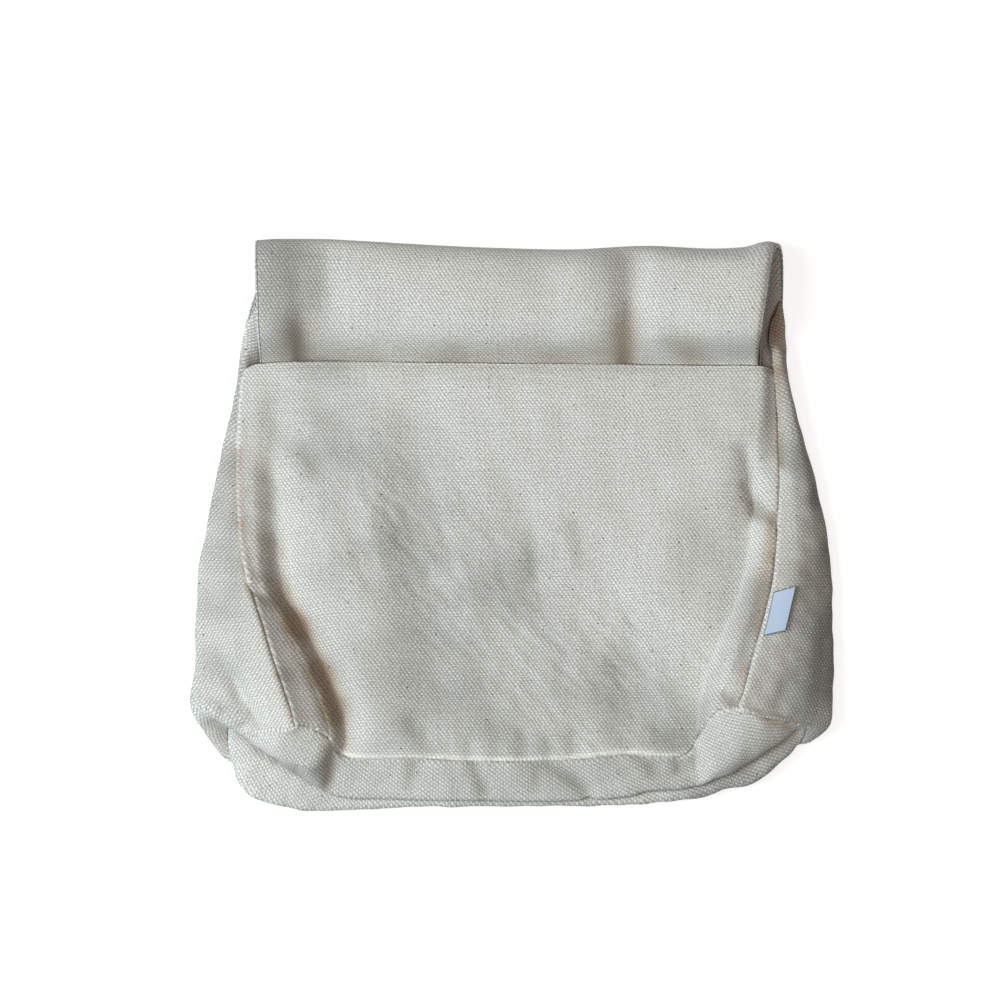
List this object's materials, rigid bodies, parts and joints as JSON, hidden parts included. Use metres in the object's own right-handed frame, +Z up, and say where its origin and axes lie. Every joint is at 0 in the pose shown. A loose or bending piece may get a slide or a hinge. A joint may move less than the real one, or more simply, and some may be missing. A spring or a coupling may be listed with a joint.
{
  "type": "canvas pouch",
  "caption": "Soft box-bottomed pouch of natural cotton canvas, lying on its back with its wide flap folded over and tucked into the mouth.",
  "frame": {"origin": "middle of the back panel, on the face that lies on the table", "axes": "+X across the pouch, +Y from its bottom towards the fold of its flap, +Z up out of the front panel"},
  "size_m": [0.2123, 0.1884, 0.0216],
  "materials": {
    "canvas": "unbleached cotton canvas, plain weave with flecks of seed, matt",
    "label_tape": "white woven tape, matt with a faint sheen"
  },
  "bodies": {
    "root": {"back_panel_flap": "canvas", "front_panel": "canvas", "gusset_left": "canvas", "gusset_right": "canvas", "bottom_panel": "canvas", "label_tab": "label_tape"}
  },
  "joints": []
}
